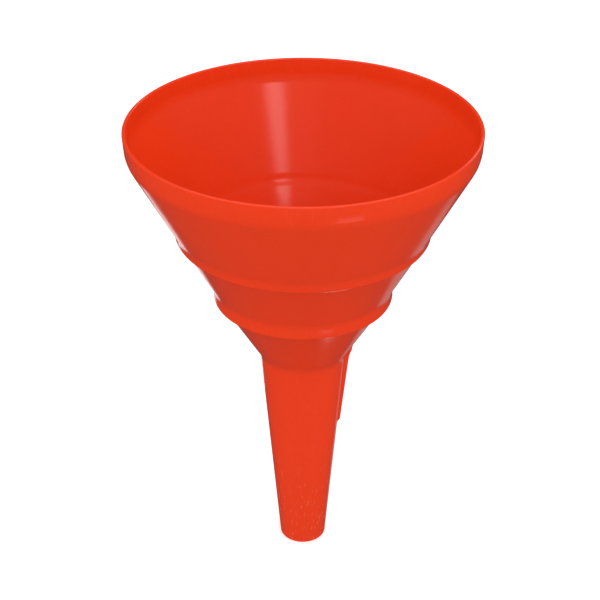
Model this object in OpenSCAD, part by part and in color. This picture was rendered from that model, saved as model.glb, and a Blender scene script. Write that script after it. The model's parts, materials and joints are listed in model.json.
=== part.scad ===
// Fuel funnel: one moulded polyethylene body with a lift-out strainer.
// The frame's origin is the centre of the spout's outlet. +Z runs up the axis to the rim,
// +X points along the spout's vent rib, and the strainer's bail lies folded towards -Y.

/* [Rim and upper bowl] */
// Outside diameter across the rim
rim_d = 160; // [154:1:166]
// Height of the near-upright band below the rim
band_h = 9.6; // [8:0.2:12]
// How far the band leans in on each side
band_draft = 0.6; // [0.2:0.1:1]
// Height of the upper cone
upper_cone_h = 38.1; // [34:0.1:42]
// Outside diameter at the top of the upper collar
upper_collar_d = 118.8; // [116:0.2:120]
// Height of the upper collar
upper_collar_h = 4.6; // [4:0.2:7]
// How far the upper collar leans in on each side
upper_collar_draft = 0.7; // [0.1:0.1:1]
// Width of the step under the upper collar
upper_step_w = 1.8; // [1.2:0.1:3]

/* [Strainer seat and lower bowl] */
// Height of the middle cone
middle_cone_h = 27.4; // [24:0.1:30]
// Outside diameter of the lower collar, which holds the strainer
lower_collar_d = 84.2; // [82:0.2:88]
// Height of the lower collar
lower_collar_h = 6.9; // [6:0.1:9]
// Width of the step under the lower collar, which the strainer sits on
lower_step_w = 3; // [2.5:0.1:4]
// Height of the lower cone
lower_cone_h = 31; // [28:0.5:34]
// Thickness of the wall
wall = 1.8; // [1.5:0.1:2.1]

/* [Spout] */
// Outside diameter at the top of the spout
spout_top_d = 41.2; // [38:0.2:44]
// Outside diameter at the outlet
outlet_d = 22.6; // [20:0.2:26]
// Length of the spout
spout_h = 111; // [90:0.5:130]
// Thickness of the vent rib
rib_t = 2.4; // [1.6:0.1:3]
// How far the rib stands out from the spout at its top
rib_proud_top = 2; // [1:0.1:3]
// How far the rib stands out from the spout at its foot
rib_proud_foot = 1.2; // [0.8:0.1:2]
// Height of the rib's foot above the outlet
rib_foot_z = 70.5; // [50:0.5:80]
// Height of the chamfer at the rib's foot
rib_chamfer_h = 1.6; // [1:0.1:3]

/* [Strainer] */
// Gap between the strainer and the collar round it
strainer_gap = 0.35; // [0.3:0.05:0.6]
// Height of the strainer frame
frame_h = 5; // [4.9:0.1:5.4]
// Thickness of the frame's upright wall
frame_wall = 2.2; // [2:0.1:2.6]
// Width of the frame's floor, which carries the gauze
frame_floor_w = 4.4; // [4:0.1:5]
// Thickness of the frame's floor and its cross bars
frame_floor_t = 2; // [1.8:0.1:2.2]
// Width of each cross bar
cross_bar_w = 2; // [1.6:0.1:3]
// Thickness of the woven gauze
gauze_t = 0.6; // [0.5:0.05:0.7]
// Height of the clamp ring above the gauze
clamp_h = 2; // [1.8:0.1:2.2]
// Width of the clamp ring
clamp_w = 2.2; // [2:0.1:2.4]

/* [Bail] */
// Diameter of the bail's wire
bail_wire_d = 1.6; // [1.4:0.1:1.8]
// Running clearance round the wire in each ear
ear_clearance = 0.08; // [0.05:0.01:0.1]
// Thickness of each ear
ear_t = 2.4; // [2:0.1:2.8]
// Width of each ear
ear_w = 5; // [4.4:0.1:6]

/* [Hidden] */
$fn = 128;
overlap = 0.4;

// Levels up the axis, from the outlet to the rim
spout_top_z = spout_h;
lower_step_z = spout_top_z + lower_cone_h;
lower_collar_top_z = lower_step_z + lower_collar_h;
upper_step_z = lower_collar_top_z + middle_cone_h;
upper_collar_top_z = upper_step_z + upper_collar_h;
band_foot_z = upper_collar_top_z + upper_cone_h;
rim_z = band_foot_z + band_h;

// The body's outside as [radius, height], from the rim down to the outlet
upper_step_r = upper_collar_d / 2 - upper_collar_draft;
outside = [
    [rim_d / 2, rim_z],
    [rim_d / 2 - band_draft, band_foot_z],
    [upper_collar_d / 2, upper_collar_top_z],
    [upper_step_r, upper_step_z],
    [upper_step_r - upper_step_w, upper_step_z],
    [lower_collar_d / 2, lower_collar_top_z],
    [lower_collar_d / 2, lower_step_z],
    [lower_collar_d / 2 - lower_step_w, lower_step_z],
    [spout_top_d / 2, spout_top_z],
    [outlet_d / 2, 0]
];
last = len(outside) - 1;

// A unit normal of the stretch from p to q, pointing at the funnel's inside
function inward(p, q) = [q[1] - p[1], p[0] - q[0]] / norm(q - p);
// The inside corner behind corner i: moved along the mitre, so that each wall is equally thick
function inside_corner(i) =
    let (mitre = inward(outside[i - 1], outside[i]) + inward(outside[i], outside[i + 1]))
    outside[i] + 2 * wall * mitre / (mitre * mitre);
// The upper collar is a solid bead, so the inside skips its two corners and runs straight past it
inside = [
    [rim_d / 2 - wall, rim_z],
    for (i = [1 : last - 1]) if (i < 2 || i > 3) inside_corner(i),
    [outlet_d / 2 - wall, 0]
];

// The spout's outside radius at height z
function spout_r(z) = (outlet_d + (spout_top_d - outlet_d) * z / spout_h) / 2;
// The lower cone's outside radius at height z
lower_cone_slope = (lower_collar_d / 2 - lower_step_w - spout_top_d / 2) / lower_cone_h;
function lower_cone_r(z) = spout_top_d / 2 + lower_cone_slope * (z - spout_top_z);
rib_bend_z = spout_top_z - 4;
rib_top_z = spout_top_z + 10;

// The strainer's place and sizes
seat_z = lower_step_z + wall;
frame_r = lower_collar_d / 2 - wall - strainer_gap;
frame_bore_r = frame_r - frame_floor_w;
gauze_z = seat_z + frame_floor_t;
gauze_r = frame_r - frame_wall;
clamp_z = gauze_z + gauze_t;
clamp_top_z = clamp_z + clamp_h;
clamp_bore_r = gauze_r - clamp_w;

// The bail lies on the clamp ring when folded, and its ends turn inwards through the ears
bail_rest_gap = 0.1;
elbow_r = bail_wire_d;
bow_r = clamp_bore_r - 0.85;
bail_z = clamp_top_z + bail_wire_d / 2 + bail_rest_gap;
ear_gap = 0.3;
ear_out_x = bow_r - elbow_r - ear_gap;
ear_in_x = ear_out_x - ear_t;
ear_top_r = ear_w / 2;
pin_end_x = ear_in_x - 0.8;

// A ring between two radii, standing on height z
module ring(outer_r, inner_r, z, h) {
    translate([0, 0, z])
        difference() {
            cylinder(h = h, r = outer_r);
            translate([0, 0, -1]) cylinder(h = h + 2, r = inner_r);
        }
}

module funnel_shell() {
    rotate_extrude()
        polygon(concat(outside, [for (i = [len(inside) - 1 : -1 : 0]) inside[i]]));
}

// The vent rib: a thin upright fin whose root is sunk into the wall
module vent_rib() {
    root = wall / 2;
    rotate([90, 0, 0])
        linear_extrude(height = rib_t, center = true)
            polygon([
                [spout_r(rib_foot_z - rib_chamfer_h) - root, rib_foot_z - rib_chamfer_h],
                [spout_r(rib_foot_z - rib_chamfer_h), rib_foot_z - rib_chamfer_h],
                [spout_r(rib_foot_z) + rib_proud_foot, rib_foot_z],
                [spout_r(rib_bend_z) + rib_proud_top, rib_bend_z],
                [lower_cone_r(rib_top_z), rib_top_z],
                [lower_cone_r(rib_top_z) - root, rib_top_z],
                [spout_r(spout_top_z) - root, spout_top_z]
            ]);
}

module funnel_body() {
    color("orangered") {
        funnel_shell();
        vent_rib();
    }
}

module strainer_frame() {
    color("tomato") {
        ring(frame_r, gauze_r, seat_z, frame_h);
        ring(gauze_r + overlap, frame_bore_r, seat_z, frame_floor_t);
        for (turn = [0, 90])
            rotate([0, 0, turn])
                translate([-frame_bore_r - overlap, -cross_bar_w / 2, seat_z])
                    cube([2 * (frame_bore_r + overlap), cross_bar_w, frame_floor_t]);
    }
}

module strainer_gauze() {
    color("goldenrod")
        translate([0, 0, gauze_z]) cylinder(h = gauze_t, r = gauze_r);
}

// One ear at +X, on a pad that reaches in from the clamp ring
module clamp_ear() {
    translate([ear_in_x, -ear_w / 2, clamp_z])
        cube([clamp_bore_r - ear_in_x + overlap, ear_w, clamp_h]);
    translate([ear_in_x, -ear_w / 2, clamp_z])
        cube([ear_t, ear_w, bail_z - clamp_z]);
    translate([ear_in_x, 0, bail_z])
        rotate([0, 90, 0]) cylinder(h = ear_t, r = ear_top_r);
}

module strainer_clamp_ring() {
    color("tomato")
        difference() {
            union() {
                ring(gauze_r, clamp_bore_r, clamp_z, clamp_h);
                clamp_ear();
                mirror([1, 0, 0]) clamp_ear();
            }
            translate([0, 0, bail_z])
                rotate([0, 90, 0])
                    cylinder(h = 2 * bow_r, r = bail_wire_d / 2 + ear_clearance, center = true);
        }
}

// A stretch of the bail's wire, bent round the origin through an angle from +X
module bent_wire(radius, angle) {
    rotate_extrude(angle = angle)
        translate([radius, 0]) circle(d = bail_wire_d);
}

// One end of the bail at +X: the wire turns inwards and runs through the ear
module bail_end() {
    translate([bow_r - elbow_r, -elbow_r, 0]) bent_wire(elbow_r, 90);
    translate([pin_end_x, 0, 0])
        rotate([0, 90, 0]) cylinder(h = bow_r - elbow_r - pin_end_x, d = bail_wire_d);
}

module strainer_bail() {
    color("silver")
        translate([0, 0, bail_z]) {
            translate([0, -elbow_r, 0])
                rotate([0, 0, 180]) bent_wire(bow_r, 180);
            bail_end();
            mirror([1, 0, 0]) bail_end();
        }
}

funnel_body();
strainer_frame();
strainer_gauze();
strainer_clamp_ring();
strainer_bail();
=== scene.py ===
# %% [markdown]
# # A moulded fuel funnel
# The real object is one moulded shell of red-orange polyethylene, with a strainer that drops in from
# the top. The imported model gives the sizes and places, so this lesson rounds its corners, weaves its
# gauze and gives it its materials. Lengths are in metres, and MM turns millimetres into them.

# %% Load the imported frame
import json
import math

import bmesh
import bpy
from mathutils import Matrix, Vector


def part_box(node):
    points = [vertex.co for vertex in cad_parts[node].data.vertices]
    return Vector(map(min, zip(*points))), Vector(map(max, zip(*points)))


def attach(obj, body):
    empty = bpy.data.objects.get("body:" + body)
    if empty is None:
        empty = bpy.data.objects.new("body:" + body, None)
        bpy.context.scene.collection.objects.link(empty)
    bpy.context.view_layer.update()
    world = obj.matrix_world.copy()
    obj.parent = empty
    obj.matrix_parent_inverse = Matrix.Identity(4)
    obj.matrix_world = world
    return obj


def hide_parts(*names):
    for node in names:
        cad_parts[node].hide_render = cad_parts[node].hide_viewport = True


MM = 0.001

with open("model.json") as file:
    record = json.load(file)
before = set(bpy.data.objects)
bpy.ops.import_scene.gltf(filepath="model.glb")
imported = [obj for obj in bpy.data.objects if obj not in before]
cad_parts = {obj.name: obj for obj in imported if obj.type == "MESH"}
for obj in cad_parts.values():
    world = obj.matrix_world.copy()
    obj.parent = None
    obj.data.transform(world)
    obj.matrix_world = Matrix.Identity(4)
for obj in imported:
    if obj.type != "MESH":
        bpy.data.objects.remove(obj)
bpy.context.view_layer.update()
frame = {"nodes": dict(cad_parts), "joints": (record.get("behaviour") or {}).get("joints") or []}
rim_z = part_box("funnel_body")[1].z
print("CAD nodes:", sorted(frame["nodes"]))

# %% [markdown]
# ## Camera
# The funnel is looked down into from about thirty degrees above, from close enough that the outlet,
# which is further away and seen more steeply, looks rounder than the rim. A longer lens further off
# would flatten that difference, so the distance matters as much as the angle.

# %% Camera
CAMERA_TILT = math.radians(30.9)
CAMERA_DISTANCE = 700 * MM
AIM_BELOW_RIM = 90.2 * MM
AIM_LEFT = 1.43 * MM
LENS = 88.9

aim = Vector((-AIM_LEFT, 0, rim_z - AIM_BELOW_RIM))
camera_data = bpy.data.cameras.new("camera")
camera_data.lens = LENS
camera_data.clip_start = 0.01
camera = bpy.data.objects.new("camera", camera_data)
camera.location = aim + CAMERA_DISTANCE * Vector((0, -math.cos(CAMERA_TILT), math.sin(CAMERA_TILT)))
camera.rotation_euler = (math.pi / 2 - CAMERA_TILT, 0, 0)
bpy.context.scene.collection.objects.link(camera)
bpy.context.scene.camera = camera
print("camera at", tuple(round(c, 3) for c in camera.location))

# %% [markdown]
# ## Floor and light
# Polyethylene is glossy, so it shows the shapes of the lights. The room is mirrored dimly at low
# angles, and a few chosen boxes stand out from it. The key dish, in front on the right, draws the
# bright bar down the bowl's back wall, and a box behind lights the rim. Cards stand below the level
# of the floor, which hides them from the camera but not from reflections, to edge the flanks and the
# collars from underneath. The big fills give the shell its even brightness, and are kept out of
# reflections so as to leave no shapes on it. Overhead the mirrored room is bright, since brass and
# steel show little but what they mirror.

# %% Small helpers for materials
def linear(hex_colour):
    """An sRGB hex colour as the linear RGBA that a shader socket takes."""
    channels = [int(hex_colour[i:i + 2], 16) / 255 for i in (1, 3, 5)]
    return tuple(c / 12.92 if c <= 0.04045 else ((c + 0.055) / 1.055) ** 2.4 for c in channels) + (1,)


def add_node(tree, kind, settings=None, **inputs):
    """Adds a node. An input is a value, or the output socket that feeds it."""
    node = tree.nodes.new(kind)
    for name, value in (settings or {}).items():
        setattr(node, name, value)
    for name, value in inputs.items():
        numbered = name[0] == "_" and name[1:].isdigit()
        socket = node.inputs[int(name[1:]) if numbered else name.replace("_", " ")]
        if isinstance(value, bpy.types.NodeSocket):
            tree.links.new(value, socket)
        else:
            socket.default_value = value
    return node


def new_material(name):
    """A material with an empty node tree, and that tree."""
    material = bpy.data.materials.new(name)
    material.use_nodes = True
    material.node_tree.nodes.clear()
    return material, material.node_tree


print("sRGB #808080 in linear light:", [round(c, 3) for c in linear("#808080")])

# %% Floor
FLOOR_SIDE = 6.0

floor_material, tree = new_material("white_card")
paint = add_node(
    tree, "ShaderNodeBsdfPrincipled", Base_Color=linear("#FAFAF9"), Roughness=0.9,
    Emission_Color=linear("#FFFFFF"), Emission_Strength=0.25,
)
add_node(tree, "ShaderNodeOutputMaterial", Surface=paint.outputs["BSDF"])

form = bmesh.new()
bmesh.ops.create_grid(form, x_segments=1, y_segments=1, size=FLOOR_SIDE / 2)
floor_mesh = bpy.data.meshes.new("floor")
form.to_mesh(floor_mesh)
form.free()
floor_mesh.materials.append(floor_material)
floor = bpy.data.objects.new("floor", floor_mesh)
floor.visible_glossy = False
floor.visible_diffuse = False
bpy.context.scene.collection.objects.link(floor)
print("floor side in metres:", FLOOR_SIDE)

# %% Lights
def soft_box(name, azimuth, elevation, distance, width, height, radiance, shape="RECTANGLE"):
    """An area light that faces the bowl. Azimuth 0 is the camera's side, 90 is +X."""
    data = bpy.data.lights.new(name, "AREA")
    data.shape = shape
    data.size = width
    data.size_y = height
    area = width * height * (math.pi / 4 if shape == "ELLIPSE" else 1)
    data.energy = radiance * math.pi * area
    light = bpy.data.objects.new(name, data)
    turn, rise = math.radians(azimuth), math.radians(elevation)
    away = Vector((math.sin(turn) * math.cos(rise), -math.cos(turn) * math.cos(rise), math.sin(rise)))
    light.location = aim + distance * away
    light.rotation_euler = away.to_track_quat("Z", "Y").to_euler()
    bpy.context.scene.collection.objects.link(light)
    return light


# Each has an azimuth and an elevation in degrees, a distance, a width, a height, and a radiance.
soft_box("key_dish", 21.5, 33.6, 1.6, 0.36, 0.22, 2.7, "ELLIPSE")
soft_box("rim_box", 150, 31, 1.6, 0.4, 0.3, 2.5)
soft_box("left_card", -163, -33.5, 1.2, 0.42, 0.15, 1.1)
soft_box("right_card", 158, -40, 1.2, 0.55, 0.3, 0.26, "ELLIPSE")
soft_box("bead_card", 168, -67, 1.2, 0.34, 0.2, 2.5)
soft_box("front_card", 30, -33, 1.2, 0.3, 0.15, 1.6)
fills = [
    soft_box("front_fill", 10, 43, 2.2, 1.6, 1.2, 2.3),
    soft_box("left_fill", -85, 0, 2.0, 1.2, 1.2, 2.2),
    soft_box("right_fill", 85, 0, 2.0, 1.2, 1.2, 1.4),
]
for fill in fills:
    fill.visible_glossy = False

ROOM_BELOW = 0.78
ROOM_ABOVE = 1.02
MIRRORED_LOW = 0.06
MIRRORED_OVERHEAD = 0.9
OVERHEAD_FROM = 0.62
OVERHEAD_FULL = 0.85
world = bpy.data.worlds.new("studio")
world.use_nodes = True
tree = world.node_tree
tree.nodes.clear()
direction = add_node(tree, "ShaderNodeTexCoord").outputs["Generated"]
upward = add_node(tree, "ShaderNodeSeparateXYZ", Vector=direction).outputs["Z"]
glow = add_node(tree, "ShaderNodeMapRange", Value=upward, From_Min=-1.0, To_Min=ROOM_BELOW, To_Max=ROOM_ABOVE)
mirrored = add_node(tree, "ShaderNodeLightPath").outputs["Is Glossy Ray"]
shine = add_node(
    tree, "ShaderNodeMapRange", Value=upward, From_Min=OVERHEAD_FROM, From_Max=OVERHEAD_FULL,
    To_Min=MIRRORED_LOW, To_Max=MIRRORED_OVERHEAD,
)
strength = add_node(
    tree, "ShaderNodeMapRange", Value=mirrored, To_Min=glow.outputs["Result"], To_Max=shine.outputs["Result"]
)
room = add_node(tree, "ShaderNodeBackground", Color=linear("#FFFFFF"), Strength=strength.outputs["Result"])
add_node(tree, "ShaderNodeOutputWorld", Surface=room.outputs["Background"])
# Sampled as a light, the room would leave the cones' undersides slightly darker, probably because
# the floor then shades them.
world.cycles.sampling_method = "NONE"
bpy.context.scene.world = world
bpy.context.scene.view_settings.view_transform = "Standard"

# %% [markdown]
# ## The wall's outline
# A moulded funnel is a shape of revolution: one outline turned round the axis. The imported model
# already holds that outline, sharp cornered, so it is cut out of it: a flat cut through the axis, on
# the side away from the rib, leaves a thin loop of edges. A real mould has no sharp corners, because
# the plastic must flow round them, so each corner is then rounded by its own radius.

# %% Cut an outline from a CAD node
POINT_MERGE = 0.002 * MM
CUT_MERGE = 0.05 * MM
STRAIGHT_WITHIN = math.radians(1.5)


def half_section(node, turn=0, beyond=0.0):
    """The closed outline where the plane y = 0 cuts a turned node, on -X and further out than beyond."""
    cut = bmesh.new()
    cut.from_mesh(frame["nodes"][node].data)
    bmesh.ops.remove_doubles(cut, verts=cut.verts, dist=POINT_MERGE)
    bmesh.ops.rotate(cut, verts=cut.verts, matrix=Matrix.Rotation(math.radians(turn), 3, "Z"))
    everything = cut.verts[:] + cut.edges[:] + cut.faces[:]
    bmesh.ops.bisect_plane(
        cut, geom=everything, plane_co=(0, 0, 0), plane_no=(0, 1, 0), clear_inner=True, clear_outer=True
    )
    bmesh.ops.delete(cut, geom=[v for v in cut.verts if v.co.x > -beyond], context="VERTS")
    bmesh.ops.remove_doubles(cut, verts=cut.verts, dist=CUT_MERGE)
    bmesh.ops.dissolve_limit(cut, angle_limit=STRAIGHT_WITHIN, verts=cut.verts, edges=cut.edges)
    return cut


def corners_in_order(outline):
    """The corners' places, from the outside top corner down the outside and back up the inside."""
    start = max(outline.verts, key=lambda v: v.co.z - v.co.x)
    nearest = min(start.link_edges, key=lambda e: e.other_vert(start).co.z)
    order, edge = [start], nearest
    while len(order) < len(outline.verts):
        order.append(edge.other_vert(order[-1]))
        edge = next(e for e in order[-1].link_edges if e != edge)
    return [v.co.copy() for v in order]


outline = half_section("funnel_body")
corners = corners_in_order(outline)
print("outline corners, radius and height in mm:")
print([(round(-c.x / MM, 1), round(c.z / MM, 1)) for c in corners])

# %% [markdown]
# Bevelling a corner by the length of its tangents gives an arc of the radius that a mould maker
# would write on the drawing. The steps under the collars have small radii and stay crisp. The turn
# below the rim's band, the collars' upper edges and the turn into the spout have large ones, which
# the plastic, and later the fuel, flows round easily.

# %% Round the corners
def round_corners(outline, radii_mm, segments=5):
    """Rounds each corner of a closed outline by its own radius, in the order of corners_in_order."""
    places = corners_in_order(outline)
    bmesh.ops.contextual_create(outline, geom=outline.edges[:])
    for index, (place, radius) in enumerate(zip(places, radii_mm)):
        to_last = (places[index - 1] - place).normalized()
        to_next = (places[(index + 1) % len(places)] - place).normalized()
        tangent = radius * MM / math.tan(to_last.angle(to_next) / 2)
        corner = min(outline.verts, key=lambda v: (v.co - place).length)
        bmesh.ops.bevel(
            outline, geom=[corner], offset=tangent, offset_type="OFFSET", segments=segments,
            profile=0.5, affect="VERTICES", clamp_overlap=True, material=-1,
        )
    bmesh.ops.delete(outline, geom=outline.faces[:], context="FACES_ONLY")


OUTSIDE_RADII = (0.8, 10.0, 10.0, 1.2, 1.1, 8.0, 1.5, 2.0, 9.0, 0.8)
INSIDE_RADII = (0.7, 9.0, 0.6, 0.8, 2.5, 14.0, 0.7)
round_corners(outline, OUTSIDE_RADII + INSIDE_RADII)
print("outline points:", len(outline.verts))

# %% [markdown]
# ## The vent rib
# The rib on the spout keeps a gap open beside the neck of the can, so that air can leave while fuel
# goes in. It is part of the same shell, so it isn't added as a separate block: the wall is spun with
# many narrow columns of faces where the rib will be, and those columns are then pushed outwards in
# the shape of the rib. The skin stays in one piece, with a fillet at the rib's root as in the mould.

# %% Add rows where the rib will be
RIB_FOOT = 70.5 * MM
RIB_CHAMFER = 1.6 * MM
RIB_TOP = 119.8 * MM
ROW_STEP = 1.25 * MM
ROWS_BELOW_RIB = 6
ROWS_BESIDE_RIB = 9


def add_rows(outline, heights, inner):
    """Cuts the outline's long edges on its inner or outer side at each height, and gives the points."""
    rows = []
    for height in heights:
        long_edges = [e for e in outline.edges if e.calc_length() > ROW_STEP / 2]
        spanning = [e for e in long_edges if (e.verts[0].co.z - height) * (e.verts[1].co.z - height) < 0]
        if spanning:
            side = (max if inner else min)(spanning, key=lambda e: e.verts[0].co.x + e.verts[1].co.x)
            cut = bmesh.ops.bisect_plane(
                outline, geom=[side, *side.verts], plane_co=(0, 0, height), plane_no=(0, 0, 1)
            )
            rows += [v for v in cut["geom_cut"] if isinstance(v, bmesh.types.BMVert)]
    return rows


rib_rows = range(round((RIB_TOP - RIB_FOOT) / ROW_STEP) + ROWS_BESIDE_RIB)
rib_heights = [RIB_FOOT + (row - ROWS_BELOW_RIB) * ROW_STEP for row in rib_rows]
print("rows added for the rib:", len(add_rows(outline, rib_heights, inner=False)))

# %% [markdown]
# ## The sink mark
# The upper collar is a solid bead. Thick plastic cools last and shrinks most, so the inside wall
# behind it is drawn in by a quarter of a millimetre. That is little, but it bends reflections, and
# breaks the bright bar that runs down the wall.

# %% Sink the wall behind the bead
SINK_TOP = 178.8 * MM
SINK_HEIGHT = 7.0 * MM
SINK_DEPTH = 0.25 * MM
SINK_ROWS = 12

sink_rows = [SINK_TOP - SINK_HEIGHT * row / SINK_ROWS for row in range(SINK_ROWS + 1)]
for v in add_rows(outline, sink_rows, inner=True):
    through = (SINK_TOP - v.co.z) / SINK_HEIGHT
    v.co.x -= SINK_DEPTH * (1 - math.cos(2 * math.pi * through)) / 2
print("rows in the sink mark:", len(sink_rows))

# %% Spin the wall, with narrow columns under the rib
RIB_SECTOR = math.radians(16)
RIB_COLUMNS = 40
WALL_COLUMNS = 172


def spin(form, geometry, angle, steps):
    """Turns geometry round the axis and gives back its last copy."""
    turned = bmesh.ops.spin(
        form, geom=geometry, cent=(0, 0, 0), axis=(0, 0, 1), dvec=(0, 0, 0), angle=angle, steps=steps,
        use_merge=False, use_normal_flip=False, use_duplicate=False,
    )
    return turned["geom_last"]


bmesh.ops.rotate(outline, verts=outline.verts, matrix=Matrix.Rotation(math.pi + RIB_SECTOR / 2, 3, "Z"))
last_copy = spin(outline, outline.verts[:] + outline.edges[:], 2 * math.pi - RIB_SECTOR, WALL_COLUMNS)
spin(outline, last_copy, RIB_SECTOR, RIB_COLUMNS)
bmesh.ops.remove_doubles(outline, verts=outline.verts, dist=0.001 * MM)
bmesh.ops.recalc_face_normals(outline, faces=outline.faces)
print("wall faces:", len(outline.faces))

# %% [markdown]
# The rib's sides are upright, so a column of vertices has to stand along each edge of the rib. The
# columns were spun at equal angles, and they are first drawn in sideways to the widths that the rib's
# cross-section needs, and only then pushed out. The push has a rounded crest and a hollow fillet.

# %% Raise the rib
RIB_HALF = 1.2 * MM
RIB_CREST_RADIUS = 0.45 * MM
RIB_ROOT_RADIUS = 0.7 * MM
RIB_PROUD_FOOT = 1.2 * MM
RIB_PROUD_BEND = 2.0 * MM
BEND_BELOW_CONE = 4 * MM
SIDE_GAP = 0.02 * MM
COLUMN_SHARES = (0, 0.3, 0.5, 0.55, 0.85, 1)
DRAWN_IN_BELOW = (12 * MM, 3 * MM)
DRAWN_IN_ABOVE = (2 * MM, 10 * MM)

# The outside of the spout and the lower cone, from the outlet up
lower_outside = corners[9:6:-1]
rib_bend = lower_outside[1].z - BEND_BELOW_CONE


def between(value, knots, results):
    """Straight lines through the points (knot, result), and level beyond the ends."""
    for k0, k1, r0, r1 in zip(knots, knots[1:], results, results[1:]):
        if value <= k1:
            return r0 + (r1 - r0) * max(0, value - k0) / (k1 - k0)
    return results[-1]


def outside_radius(z):
    """The sharp outline's outside radius at a height on the spout or the lower cone."""
    return between(z, [c.z for c in lower_outside], [-c.x for c in lower_outside])


def rib_height(z):
    """How far the rib's crest stands out from the spout or the lower cone at height z."""
    edge_z = (RIB_FOOT - RIB_CHAMFER, RIB_FOOT, rib_bend, RIB_TOP)
    edge_r = (
        outside_radius(edge_z[0]), outside_radius(edge_z[1]) + RIB_PROUD_FOOT,
        outside_radius(edge_z[2]) + RIB_PROUD_BEND, outside_radius(edge_z[3]),
    )
    inside_rib = edge_z[0] < z < edge_z[3]
    return max(0, between(z, edge_z, edge_r) - outside_radius(z)) if inside_rib else 0


def rib_section(side, crest):
    """Height of the rib at a distance from its middle plane, where its crest is that high."""
    crest_radius, root_radius = min(RIB_CREST_RADIUS, crest / 2), min(RIB_ROOT_RADIUS, crest / 2)
    if side <= RIB_HALF - crest_radius:
        return crest
    if side <= RIB_HALF:
        into = side - (RIB_HALF - crest_radius)
        return crest - crest_radius + math.sqrt(max(0, crest_radius ** 2 - into ** 2))
    into = max(0, RIB_HALF + root_radius - side)
    return root_radius - math.sqrt(max(0, root_radius ** 2 - into ** 2))


widths = (
    0, RIB_HALF - RIB_CREST_RADIUS, RIB_HALF - SIDE_GAP, RIB_HALF + SIDE_GAP,
    RIB_HALF + RIB_ROOT_RADIUS,
)
feet = [RIB_FOOT - below for below in DRAWN_IN_BELOW]
tops = [RIB_TOP + above for above in DRAWN_IN_ABOVE]
raised = 0
for v in outline.verts:
    angle = math.atan2(v.co.y, v.co.x)
    radial = Vector((v.co.x, v.co.y, 0)).normalized()
    draw_in = min(between(v.co.z, feet, (0, 1)), between(v.co.z, tops, (1, 0)))
    if abs(angle) > RIB_SECTOR / 2 or draw_in == 0 or v.normal.dot(radial) < 0:
        continue
    radius = math.hypot(v.co.x, v.co.y)
    share = abs(angle) / (RIB_SECTOR / 2)
    natural = abs(v.co.y)
    drawn = between(share, COLUMN_SHARES, (*widths, radius * math.sin(RIB_SECTOR / 2)))
    side = natural + (drawn - natural) * draw_in
    height = rib_section(side, rib_height(v.co.z)) if rib_height(v.co.z) > 0 else 0
    v.co.x = math.sqrt(radius ** 2 - side ** 2) + height
    v.co.y = math.copysign(side, angle)
    raised += height > 0
print("vertices raised for the rib:", raised)

# %% [markdown]
# ## Glossy polyethylene
# High-density polyethylene comes out of a polished mould with a gloss, but a soft and slightly wavy
# one, since the plastic shrinks as it cools. Its index of refraction is 1.53. Light goes a short way
# into it, so the colour looks deep and the shadows are never quite black. In use it only picks up
# fine scuffs, which are duller and a little paler, mostly where the spout rubs in a filler neck.

# %% Polyethylene material
WAVE_MM = 16
GRAIN_MM = 0.5
CLOUD_MM = 22
SCUFF_LENGTH_MM = 9
SCUFF_WIDTH_MM = 0.5
SCUFF_TILT = (0.3, 0.5, 0.2)
SCUFF_FROM = 0.58
SCUFF_FULL = 0.72
SCUFF_ABOVE_RIB_FOOT = 0.25
SCUFF_DULLING = 0.5
GLOSSIER = 0.03
DULLER = 0.04


def scuff_marks(tree, place, amount):
    """Short streaks, where a filler neck rubs the spout, and a few anywhere else."""
    width, length = 1 / (SCUFF_WIDTH_MM * MM), 1 / (SCUFF_LENGTH_MM * MM)
    along = add_node(
        tree, "ShaderNodeMapping", Vector=place, Rotation=SCUFF_TILT, Scale=(width, width, length)
    ).outputs["Vector"]
    streaks = add_node(tree, "ShaderNodeTexNoise", Vector=along, Scale=1.0, Detail=2.0).outputs["Fac"]
    worn = add_node(
        tree, "ShaderNodeMapRange", Value=streaks, From_Min=SCUFF_FROM, From_Max=SCUFF_FULL, To_Max=amount
    ).outputs["Result"]
    height = add_node(tree, "ShaderNodeSeparateXYZ", Vector=place).outputs["Z"]
    rubbed = add_node(
        tree, "ShaderNodeMapRange", Value=height, From_Min=RIB_FOOT, From_Max=0.0,
        To_Min=SCUFF_ABOVE_RIB_FOOT,
    ).outputs["Result"]
    return add_node(tree, "ShaderNodeMath", {"operation": "MULTIPLY"}, _0=worn, _1=rubbed).outputs["Value"]


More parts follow.
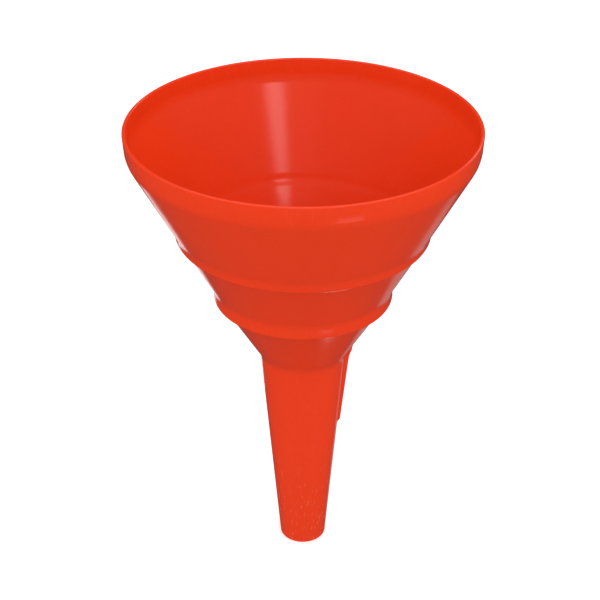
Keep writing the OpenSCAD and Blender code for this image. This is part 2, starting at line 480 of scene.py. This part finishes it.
def polyethylene(name, colours, scuffed, roughness, wave_height, grain_height, scuff_amount):
    """Moulded polyethylene. The heights are of the shrinkage waves and the fine grain, in metres."""
    material, tree = new_material(name)
    colour = {"data_type": "RGBA"}
    place = add_node(tree, "ShaderNodeTexCoord").outputs["Object"]
    scuffs = scuff_marks(tree, place, scuff_amount)
    clouds = add_node(
        tree, "ShaderNodeTexNoise", Vector=place, Scale=1 / (CLOUD_MM * MM), Detail=3.0
    ).outputs["Fac"]
    tint = add_node(tree, "ShaderNodeMix", colour, _0=clouds, _6=linear(colours[0]), _7=linear(colours[1]))
    worn = add_node(tree, "ShaderNodeMix", colour, _0=scuffs, _6=tint.outputs[2], _7=linear(scuffed))
    gloss = add_node(
        tree, "ShaderNodeMapRange", Value=clouds, To_Min=roughness - GLOSSIER, To_Max=roughness + DULLER
    ).outputs["Result"]
    dulled = add_node(
        tree, "ShaderNodeMath", {"operation": "MULTIPLY_ADD"}, _0=scuffs, _1=SCUFF_DULLING, _2=gloss
    )
    waves = add_node(tree, "ShaderNodeTexNoise", Vector=place, Scale=1 / (WAVE_MM * MM), Detail=1.0)
    grain = add_node(tree, "ShaderNodeTexNoise", Vector=place, Scale=1 / (GRAIN_MM * MM), Detail=2.0)
    wavy = add_node(
        tree, "ShaderNodeBump", Height=waves.outputs["Fac"], Distance=wave_height
    ).outputs["Normal"]
    normal = add_node(
        tree, "ShaderNodeBump", Height=grain.outputs["Fac"], Distance=grain_height, Normal=wavy
    ).outputs["Normal"]
    shader = add_node(
        tree, "ShaderNodeBsdfPrincipled", Base_Color=worn.outputs[2], Roughness=dulled.outputs["Value"],
        IOR=1.53, Normal=normal, Subsurface_Weight=0.15, Subsurface_Radius=(1.0, 0.25, 0.12),
        Subsurface_Scale=2 * MM,
    )
    add_node(tree, "ShaderNodeOutputMaterial", Surface=shader.outputs["BSDF"])
    return material


glossy_polyethylene = polyethylene(
    "glossy_polyethylene", ("#E63B15", "#E23812"), "#EE6A4A", 0.16, 0.04 * MM, 0.002 * MM, 0.45
)
print("material:", glossy_polyethylene.name, len(glossy_polyethylene.node_tree.nodes), "nodes")

# %% Make the body's piece
def make_piece(name, form, material, body, slot, *nodes, smooth_angle=40):
    """Turns a finished bmesh into a piece that rides on a body and stands for CAD nodes."""
    mesh = bpy.data.meshes.new(name)
    form.to_mesh(mesh)
    form.free()
    mesh.materials.append(material)
    piece = bpy.data.objects.new(name, mesh)
    bpy.context.scene.collection.objects.link(piece)
    mesh.shade_smooth()
    mesh.set_sharp_from_angle(angle=math.radians(smooth_angle))
    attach(piece, body)
    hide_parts(*nodes)
    print(name, "has", len(mesh.polygons), "faces")
    return piece


make_piece("funnel_shell", outline, glossy_polyethylene, "funnel", "moulded_polyethylene", "funnel_body")

# %% [markdown]
# ## The strainer's frame
# The frame is another small moulding: an upright wall with a floor inside it, and two bars that cross
# under the gauze so that it can't sag. The ring is spun as the body was, from its own CAD outline.

# %% Spin the frame's ring
RING_COLUMNS = 128


def spun_ring(node, turn, radii_mm):
    """A ring from the CAD node's outline, cut where nothing else crosses it, with rounded corners."""
    ring = half_section(node, turn, beyond=10 * MM)
    round_corners(ring, radii_mm, segments=3)
    spin(ring, ring.verts[:] + ring.edges[:], 2 * math.pi, RING_COLUMNS)
    bmesh.ops.remove_doubles(ring, verts=ring.verts, dist=0.001 * MM)
    bmesh.ops.recalc_face_normals(ring, faces=ring.faces)
    return ring


frame_ring = spun_ring("strainer_frame", 45, (0.5, 0.4, 0.4, 0.2, 0.2, 0.4))
print("ring faces:", len(frame_ring.faces))

# %% [markdown]
# A moulder would make the cross bars in one shot with the ring, so they are united with it by an
# exact Boolean, which leaves one closed skin. The bars' long edges are bevelled before that.

# %% Unite the frame with its cross bars
def temporary_object(form):
    """An object for a Boolean to work on, made from a bmesh that is then freed."""
    mesh = bpy.data.meshes.new("temporary")
    form.to_mesh(mesh)
    form.free()
    thing = bpy.data.objects.new("temporary", mesh)
    bpy.context.scene.collection.objects.link(thing)
    return thing


def combine(base, operation, *tools):
    """The exact union or difference of closed bmeshes, as a new bmesh."""
    things = [temporary_object(form) for form in (base, *tools)]
    for tool in things[1:]:
        step = things[0].modifiers.new("combine", "BOOLEAN")
        step.operation, step.solver, step.object = operation, "EXACT", tool
    result = bmesh.new()
    result.from_object(things[0], bpy.context.evaluated_depsgraph_get())
    for thing in things:
        mesh = thing.data
        bpy.data.objects.remove(thing)
        bpy.data.meshes.remove(mesh)
    return result


def rounded_block(low, high, radius, segments=2):
    """A box between two corners, with every edge rounded."""
    block = bmesh.new()
    bmesh.ops.create_cube(block, size=1)
    bmesh.ops.scale(block, verts=block.verts, vec=Vector(high) - Vector(low))
    bmesh.ops.translate(block, verts=block.verts, vec=(Vector(high) + Vector(low)) / 2)
    bmesh.ops.bevel(
        block, geom=block.edges[:], offset=radius, segments=segments, profile=0.5,
        affect="EDGES", clamp_overlap=True, material=-1,
    )
    return block


BAR_WIDTH = 2 * MM
BAR_ROUND = 0.35 * MM
BAR_SINK = 0.6 * MM
seat_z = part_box("strainer_frame")[0].z
gauze_low, gauze_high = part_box("strainer_gauze")
bar_reach = min(math.hypot(v.co.x, v.co.y) for v in frame_ring.verts) + BAR_SINK
bar_corner = Vector((bar_reach, BAR_WIDTH / 2, 0))
bars = []
for corner in (bar_corner, bar_corner.yxz):
    low = -corner + Vector((0, 0, seat_z))
    high = corner + Vector((0, 0, gauze_low.z))
    bars.append(rounded_block(low, high, BAR_ROUND))
frame_form = combine(frame_ring, "UNION", *bars)

satin_polyethylene = polyethylene(
    "satin_polyethylene", ("#E43A16", "#DC3612"), "#EA6244", 0.34, 0.02 * MM, 0.006 * MM, 0.3
)
make_piece(
    "strainer_ring", frame_form, satin_polyethylene, "strainer", "strainer_polyethylene",
    "strainer_frame", smooth_angle=30,
)

# %% [markdown]
# ## The gauze
# Fuel strainers use plain woven brass cloth: each wire goes over one and under the next. Every wire
# here is a real one, a long six-sided tube that is cut into short lengths and then waved. The real
# cloth has about twice as many wires, too fine to see apart at this size, so they are drawn coarser.

# %% Weave the gauze
WIRE_PITCH = 1.2 * MM
WIRE_DIAMETER = 0.26 * MM
WEAVE_HEIGHT = 0.14 * MM
EDGE_INSET = 0.4 * MM
STEPS_PER_PITCH = 2

gauze_radius = gauze_high.x - EDGE_INSET
gauze_middle = (gauze_low.z + gauze_high.z) / 2


def woven_wire(offset, number, weft):
    """One wire along X at Y = offset, or the other way round for the weft, as a mesh."""
    half = math.sqrt(gauze_radius ** 2 - offset ** 2)
    wire = bmesh.new()
    bmesh.ops.create_cone(
        wire, cap_ends=True, segments=6, radius1=WIRE_DIAMETER / 2, radius2=WIRE_DIAMETER / 2,
        depth=2 * half, matrix=Matrix.Rotation(math.pi / 2, 4, "Y"),
    )
    long_edges = [e for e in wire.edges if e.calc_length() > WIRE_DIAMETER]
    cuts = round(2 * half / WIRE_PITCH * STEPS_PER_PITCH)
    bmesh.ops.subdivide_edges(wire, edges=long_edges, cuts=cuts)
    sign = -1 if weft else 1
    for v in wire.verts:
        v.co.z += sign * WEAVE_HEIGHT * math.cos(math.pi * (v.co.x / WIRE_PITCH + number))
    bmesh.ops.translate(wire, verts=wire.verts, vec=(0, offset, gauze_middle))
    if weft:
        bmesh.ops.rotate(wire, verts=wire.verts, matrix=Matrix.Rotation(math.pi / 2, 3, "Z"))
    mesh = bpy.data.meshes.new("wire")
    wire.to_mesh(mesh)
    wire.free()
    return mesh


gauze_form = bmesh.new()
wires_each_side = int((gauze_radius - WIRE_PITCH / 2) / WIRE_PITCH)
for weft in (False, True):
    for number in range(-wires_each_side, wires_each_side + 1):
        mesh = woven_wire(number * WIRE_PITCH, number, weft)
        gauze_form.from_mesh(mesh)
        bpy.data.meshes.remove(mesh)
print("gauze wires:", 2 * (2 * wires_each_side + 1), "faces:", len(gauze_form.faces))

# %% [markdown]
# Brass is a metal, so it has no colour of its own beneath its reflections: the base colour tints
# them. Fuel leaves it slightly tarnished, browner and duller in patches a few millimetres across.

# %% Brass
DRAW_MARK_MM = 0.17
SHINIER = 0.08
ROUGHER = 0.12


def metal(name, bright, dull, roughness, patch_mm, bump_height):
    """A drawn wire's metal, with duller patches of a size in millimetres."""
    material, tree = new_material(name)
    place = add_node(tree, "ShaderNodeTexCoord").outputs["Object"]
    patches = add_node(
        tree, "ShaderNodeTexNoise", Vector=place, Scale=1 / (patch_mm * MM), Detail=3.0
    ).outputs["Fac"]
    tint = add_node(
        tree, "ShaderNodeMix", {"data_type": "RGBA"}, _0=patches, _6=linear(bright), _7=linear(dull)
    ).outputs[2]
    gloss = add_node(
        tree, "ShaderNodeMapRange", Value=patches, To_Min=roughness - SHINIER, To_Max=roughness + ROUGHER
    )
    draw_marks = add_node(
        tree, "ShaderNodeTexNoise", Vector=place, Scale=1 / (DRAW_MARK_MM * MM), Detail=1.0
    ).outputs["Fac"]
    bump = add_node(tree, "ShaderNodeBump", Height=draw_marks, Distance=bump_height)
    shader = add_node(
        tree, "ShaderNodeBsdfPrincipled", Base_Color=tint, Metallic=1.0,
        Roughness=gloss.outputs["Result"], Normal=bump.outputs["Normal"],
    )
    add_node(tree, "ShaderNodeOutputMaterial", Surface=shader.outputs["BSDF"])
    return material


tarnished_brass = metal("tarnished_brass", "#D9B566", "#A9803C", 0.34, 6, 0.004 * MM)
make_piece("woven_gauze", gauze_form, tarnished_brass, "strainer", "brass_gauze", "strainer_gauze")

# %% [markdown]
# ## The clamp ring and its ears
# The clamp ring presses into the frame over the gauze. Two ears stand on pads inside it, and the
# bail's wire turns in a hole through each. One ear is an arch spun over the hole's centre, closed at
# its foot, thickened and bevelled; the second is its mirror image.

# %% One ear
EAR_OUT = 32.8 * MM
EAR_THICKNESS = 2.4 * MM
EAR_HALF_WIDTH = 2.5 * MM
EAR_ROUND = 0.35 * MM
ARCH_STEPS = 24

hinge = next(joint for joint in frame["joints"] if joint["name"] == "bail_fold")
pivot = Vector(hinge["pos_m"])
ear_in = EAR_OUT - EAR_THICKNESS
clamp_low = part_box("strainer_clamp_ring")[0].z


def ear(side):
    """One ear with rounded edges, at +X for side 1 and at -X for side -1."""
    form = bmesh.new()
    start = form.verts.new((ear_in, EAR_HALF_WIDTH, pivot.z))
    bmesh.ops.spin(
        form, geom=[start], cent=(ear_in, 0, pivot.z), axis=(1, 0, 0), dvec=(0, 0, 0), angle=math.pi,
        steps=ARCH_STEPS, use_merge=False, use_normal_flip=False, use_duplicate=False,
    )
    ends = [v for v in form.verts if len(v.link_edges) == 1]
    feet = bmesh.ops.extrude_vert_indiv(form, verts=ends)["verts"]
    bmesh.ops.translate(form, verts=feet, vec=(0, 0, clamp_low - pivot.z))
    bmesh.ops.contextual_create(form, geom=feet)
    bmesh.ops.contextual_create(form, geom=form.edges[:])
    thick = bmesh.ops.extrude_face_region(form, geom=form.faces[:])["geom"]
    thick = [v for v in thick if isinstance(v, bmesh.types.BMVert)]
    bmesh.ops.translate(form, verts=thick, vec=(EAR_THICKNESS, 0, 0))
    outlines = [e for e in form.edges if abs(e.verts[0].co.x - e.verts[1].co.x) < EAR_THICKNESS / 2]
    bmesh.ops.bevel(
        form, geom=outlines, offset=EAR_ROUND, segments=3, profile=0.5, affect="EDGES",
        clamp_overlap=True, material=-1,
    )
    bmesh.ops.scale(form, verts=form.verts, vec=(side, 1, 1))
    bmesh.ops.recalc_face_normals(form, faces=form.faces)
    return form


print("the ears' holes are", round(pivot.z / MM, 1), "mm up")

# %% Unite the clamp ring, its pads and ears, and drill them
EAR_HOLE_RADIUS = 0.88 * MM
PAD_SINK = 0.5 * MM
PAD_INSET = 0.15 * MM
PAD_ROUND = 0.3 * MM
DRILL_SIDES = 32

clamp_ring = spun_ring("strainer_clamp_ring", 90, (0.5, 0.2, 0.2, 0.5))
clamp_bore = min(math.hypot(v.co.x, v.co.y) for v in clamp_ring.verts)
clamp_top = max(v.co.z for v in clamp_ring.verts)
additions = []
for side in (1, -1):
    ends = sorted((side * (ear_in + PAD_INSET), side * (clamp_bore + PAD_SINK)))
    half_pad = EAR_HALF_WIDTH - PAD_INSET
    pad_low = (ends[0], -half_pad, clamp_low + PAD_INSET)
    additions += [rounded_block(pad_low, (ends[1], half_pad, clamp_top - PAD_INSET), PAD_ROUND), ear(side)]
clamp_form = combine(clamp_ring, "UNION", *additions)

drill = bmesh.new()
bmesh.ops.create_cone(
    drill, cap_ends=True, segments=DRILL_SIDES, radius1=EAR_HOLE_RADIUS, radius2=EAR_HOLE_RADIUS,
    depth=2 * (EAR_OUT + PAD_SINK),
    matrix=Matrix.Translation(pivot) @ Matrix.Rotation(math.pi / 2, 4, "Y"),
)
clamp_form = combine(clamp_form, "DIFFERENCE", drill)
make_piece(
    "gauze_clamp", clamp_form, satin_polyethylene, "strainer", "strainer_polyethylene",
    "strainer_clamp_ring", smooth_angle=30,
)

# %% [markdown]
# ## The bail
# The bail is spring wire, bent on a former: a short pin through each ear, a tight elbow, and a half
# ring between them. One circle of wire is drawn along its path, straight for the pins and spun for
# the bends, from one cut end to the other. The cut ends are rounded.

# %% Bend the bail
WIRE_SIDES = 20
ELBOW_RADIUS = 1.6 * MM
PIN_END = 29.6 * MM
ELBOW_STEPS = 10
BOW_STEPS = 96
END_ROUND = 0.3 * MM

bail_low, bail_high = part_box("strainer_bail")
wire_radius = (bail_high.z - bail_low.z) / 2
bow_radius = bail_high.x - wire_radius
pin_length = bow_radius - ELBOW_RADIUS - PIN_END


def draw_straight(form, section, vec):
    """Draws the wire's last section on in a straight line."""
    last_edges = [e for e in section if isinstance(e, bmesh.types.BMEdge)]
    new = bmesh.ops.extrude_edge_only(form, edges=last_edges)["geom"]
    verts = [v for v in new if isinstance(v, bmesh.types.BMVert)]
    bmesh.ops.translate(form, verts=verts, vec=vec)
    edges = [e for e in new if isinstance(e, bmesh.types.BMEdge)]
    return verts + [e for e in edges if set(e.verts) <= set(verts)]


def draw_bend(form, section, centre, angle, steps):
    """Bends the wire on from its last section, round a centre in the plane of the bail."""
    bent = bmesh.ops.spin(
        form, geom=section, cent=(centre[0], centre[1], pivot.z), axis=(0, 0, 1), dvec=(0, 0, 0),
        angle=angle, steps=steps, use_merge=False, use_normal_flip=False, use_duplicate=False,
    )
    return bent["geom_last"]


bail_form = bmesh.new()
bmesh.ops.create_circle(
    bail_form, segments=WIRE_SIDES, radius=wire_radius,
    matrix=Matrix.Translation((PIN_END, 0, pivot.z)) @ Matrix.Rotation(math.pi / 2, 4, "Y"),
)
section = bail_form.verts[:] + bail_form.edges[:]
elbow_x = bow_radius - ELBOW_RADIUS
section = draw_straight(bail_form, section, (pin_length, 0, 0))
section = draw_bend(bail_form, section, (elbow_x, -ELBOW_RADIUS), -math.pi / 2, ELBOW_STEPS)
section = draw_bend(bail_form, section, (0, -ELBOW_RADIUS), -math.pi, BOW_STEPS)
section = draw_bend(bail_form, section, (-elbow_x, -ELBOW_RADIUS), -math.pi / 2, ELBOW_STEPS)
section = draw_straight(bail_form, section, (pin_length, 0, 0))
open_ends = [e for e in bail_form.edges if e.is_boundary]
bmesh.ops.holes_fill(bail_form, edges=open_ends, sides=0)
bmesh.ops.bevel(
    bail_form, geom=open_ends, offset=END_ROUND, segments=3, profile=0.5, affect="EDGES",
    clamp_overlap=True, material=-1,
)
bmesh.ops.recalc_face_normals(bail_form, faces=bail_form.faces)

drawn_stainless = metal("drawn_stainless", "#C6C2BB", "#A7A39C", 0.26, 3, 0.003 * MM)
make_piece("wire_bail", bail_form, drawn_stainless, "bail", "stainless_wire", "strainer_bail")
